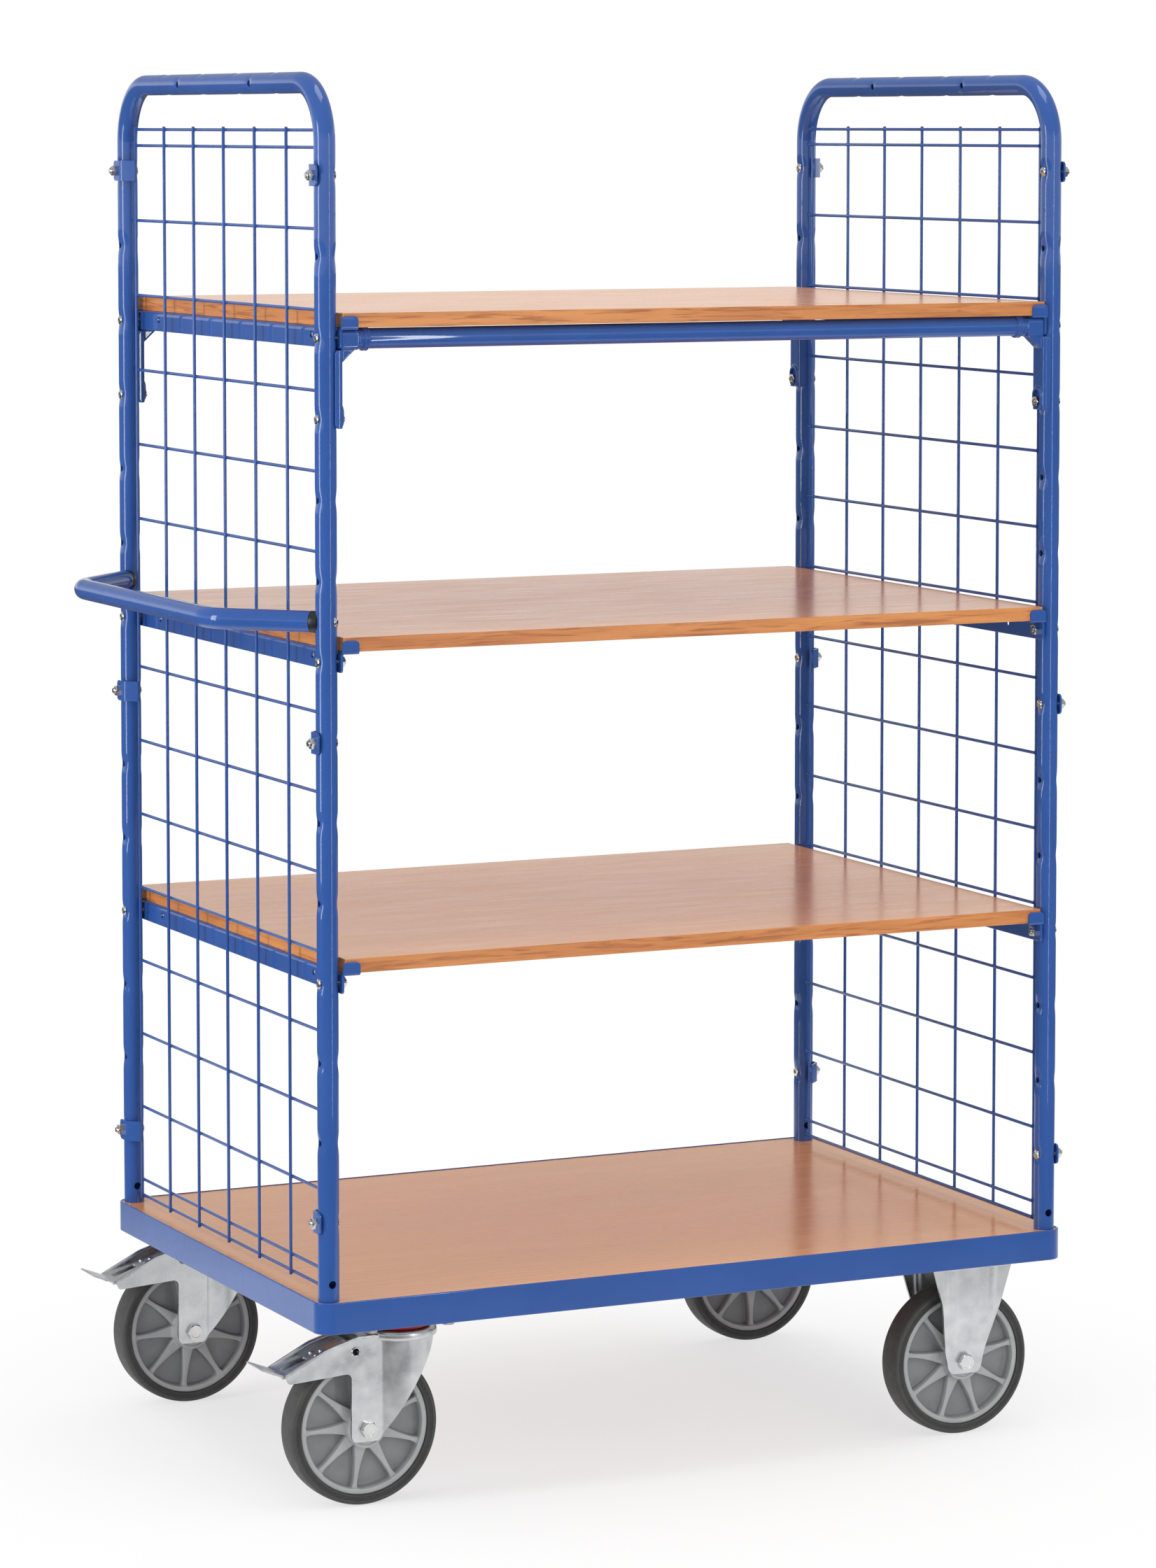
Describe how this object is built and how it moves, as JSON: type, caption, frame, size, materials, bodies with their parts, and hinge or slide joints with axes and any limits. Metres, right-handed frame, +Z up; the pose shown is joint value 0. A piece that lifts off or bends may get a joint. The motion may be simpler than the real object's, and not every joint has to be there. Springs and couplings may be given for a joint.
{
  "type": "mesh trolley",
  "caption": "Tall shelf trolley with mesh end walls in tube hoops, wood-decor shelves on rails, a push handle, braked swivel casters and fixed casters.",
  "frame": {"origin": "on the floor under the middle of the whole object's box", "axes": "+X runs along the platform away from the push handle, +Y across it to the rear long side, +Z up"},
  "size_m": [1.1776, 0.726, 1.798],
  "materials": {
    "blue_paint": "glossy powder coat",
    "beech_board": "satin beech decor board",
    "bolt_zinc": "bright zinc plate",
    "fork_zinc": "blue-white zinc plate",
    "seal_red": "smooth red plastic",
    "black_plastic": "fine matt black plastic",
    "rim_plastic": "grey moulded polypropylene",
    "tyre_grey": "dark grey thermoplastic rubber"
  },
  "bodies": {
    "trolley": {"platform_frame": "blue_paint", "push_handle": "blue_paint", "left_hoop": "blue_paint", "left_mesh": "blue_paint", "left_mesh_clamps": "blue_paint", "lower_shelf_rail_left": "blue_paint", "middle_shelf_rail_left": "blue_paint", "upper_shelf_rail_left": "blue_paint", "front_left_bracket": "blue_paint", "rear_left_bracket": "blue_paint", "right_hoop": "blue_paint", "right_mesh": "blue_paint", "right_mesh_clamps": "blue_paint", "lower_shelf_rail_right": "blue_paint", "middle_shelf_rail_right": "blue_paint", "upper_shelf_rail_right": "blue_paint", "front_right_bracket": "blue_paint", "rear_right_bracket": "blue_paint", "front_cross_tube": "blue_paint", "rear_cross_tube": "blue_paint", "deck_board": "beech_board", "lower_shelf_board": "beech_board", "middle_shelf_board": "beech_board", "upper_shelf_board": "beech_board", "clamp_bolts": "bolt_zinc", "clamp_nuts": "bolt_zinc", "shelf_bolts": "bolt_zinc", "shelf_nuts": "bolt_zinc", "handle_bolts": "bolt_zinc", "caster_plate_bolts": "bolt_zinc", "caster_plate_nuts": "bolt_zinc", "fixed_axle_bolts": "bolt_zinc", "fixed_axle_nuts": "bolt_zinc", "fixed_axle_sleeves": "bolt_zinc", "front_fixed_fork": "fork_zinc", "rear_fixed_fork": "fork_zinc", "front_swivel_plate": "fork_zinc", "rear_swivel_plate": "fork_zinc", "swivel_seals": "seal_red", "handle_spacers": "black_plastic"},
    "front_swivel": {"front_swivel_fork": "fork_zinc", "front_axle_bolt": "bolt_zinc", "front_axle_nut": "bolt_zinc", "front_axle_sleeve": "bolt_zinc", "front_pedal_rivets": "bolt_zinc"},
    "front_brake": {"front_brake_pedal": "fork_zinc"},
    "front_left_wheel": {"front_left_wheel_rim": "rim_plastic", "front_left_tyre": "tyre_grey"},
    "front_right_wheel": {"front_right_wheel_rim": "rim_plastic", "front_right_tyre": "tyre_grey"},
    "rear_swivel": {"rear_swivel_fork": "fork_zinc", "rear_axle_bolt": "bolt_zinc", "rear_axle_nut": "bolt_zinc", "rear_axle_sleeve": "bolt_zinc", "rear_pedal_rivets": "bolt_zinc"},
    "rear_brake": {"rear_brake_pedal": "fork_zinc"},
    "rear_left_wheel": {"rear_left_wheel_rim": "rim_plastic", "rear_left_tyre": "tyre_grey"},
    "rear_right_wheel": {"rear_right_wheel_rim": "rim_plastic", "rear_right_tyre": "tyre_grey"}
  },
  "joints": [
    {"name": "front_swivel_turn", "type": "hinge", "parent": "trolley", "child": "front_swivel", "pos_m": [-0.35325, -0.301, 0.232], "axis": [0, 0, 1], "continuous": true},
    {"name": "front_brake_press", "type": "hinge", "parent": "front_swivel", "child": "front_brake", "pos_m": [-0.42375, -0.301, 0.2], "axis": [0, -1, 0], "range_deg": [0, 12]},
    {"name": "front_left_roll", "type": "hinge", "parent": "front_swivel", "child": "front_left_wheel", "pos_m": [-0.40725, -0.301, 0.1], "axis": [0, 1, 0], "continuous": true},
    {"name": "front_right_roll", "type": "hinge", "parent": "trolley", "child": "front_right_wheel", "pos_m": [0.45075, -0.301, 0.1], "axis": [0, 1, 0], "continuous": true},
    {"name": "rear_swivel_turn", "type": "hinge", "parent": "trolley", "child": "rear_swivel", "pos_m": [-0.35325, 0.301, 0.232], "axis": [0, 0, 1], "continuous": true},
    {"name": "rear_brake_press", "type": "hinge", "parent": "rear_swivel", "child": "rear_brake", "pos_m": [-0.42375, 0.301, 0.2], "axis": [0, -1, 0], "range_deg": [0, 12]},
    {"name": "rear_left_roll", "type": "hinge", "parent": "rear_swivel", "child": "rear_left_wheel", "pos_m": [-0.40725, 0.301, 0.1], "axis": [0, 1, 0], "continuous": true},
    {"name": "rear_right_roll", "type": "hinge", "parent": "trolley", "child": "rear_right_wheel", "pos_m": [0.45075, 0.301, 0.1], "axis": [0, 1, 0], "continuous": true}
  ]
}
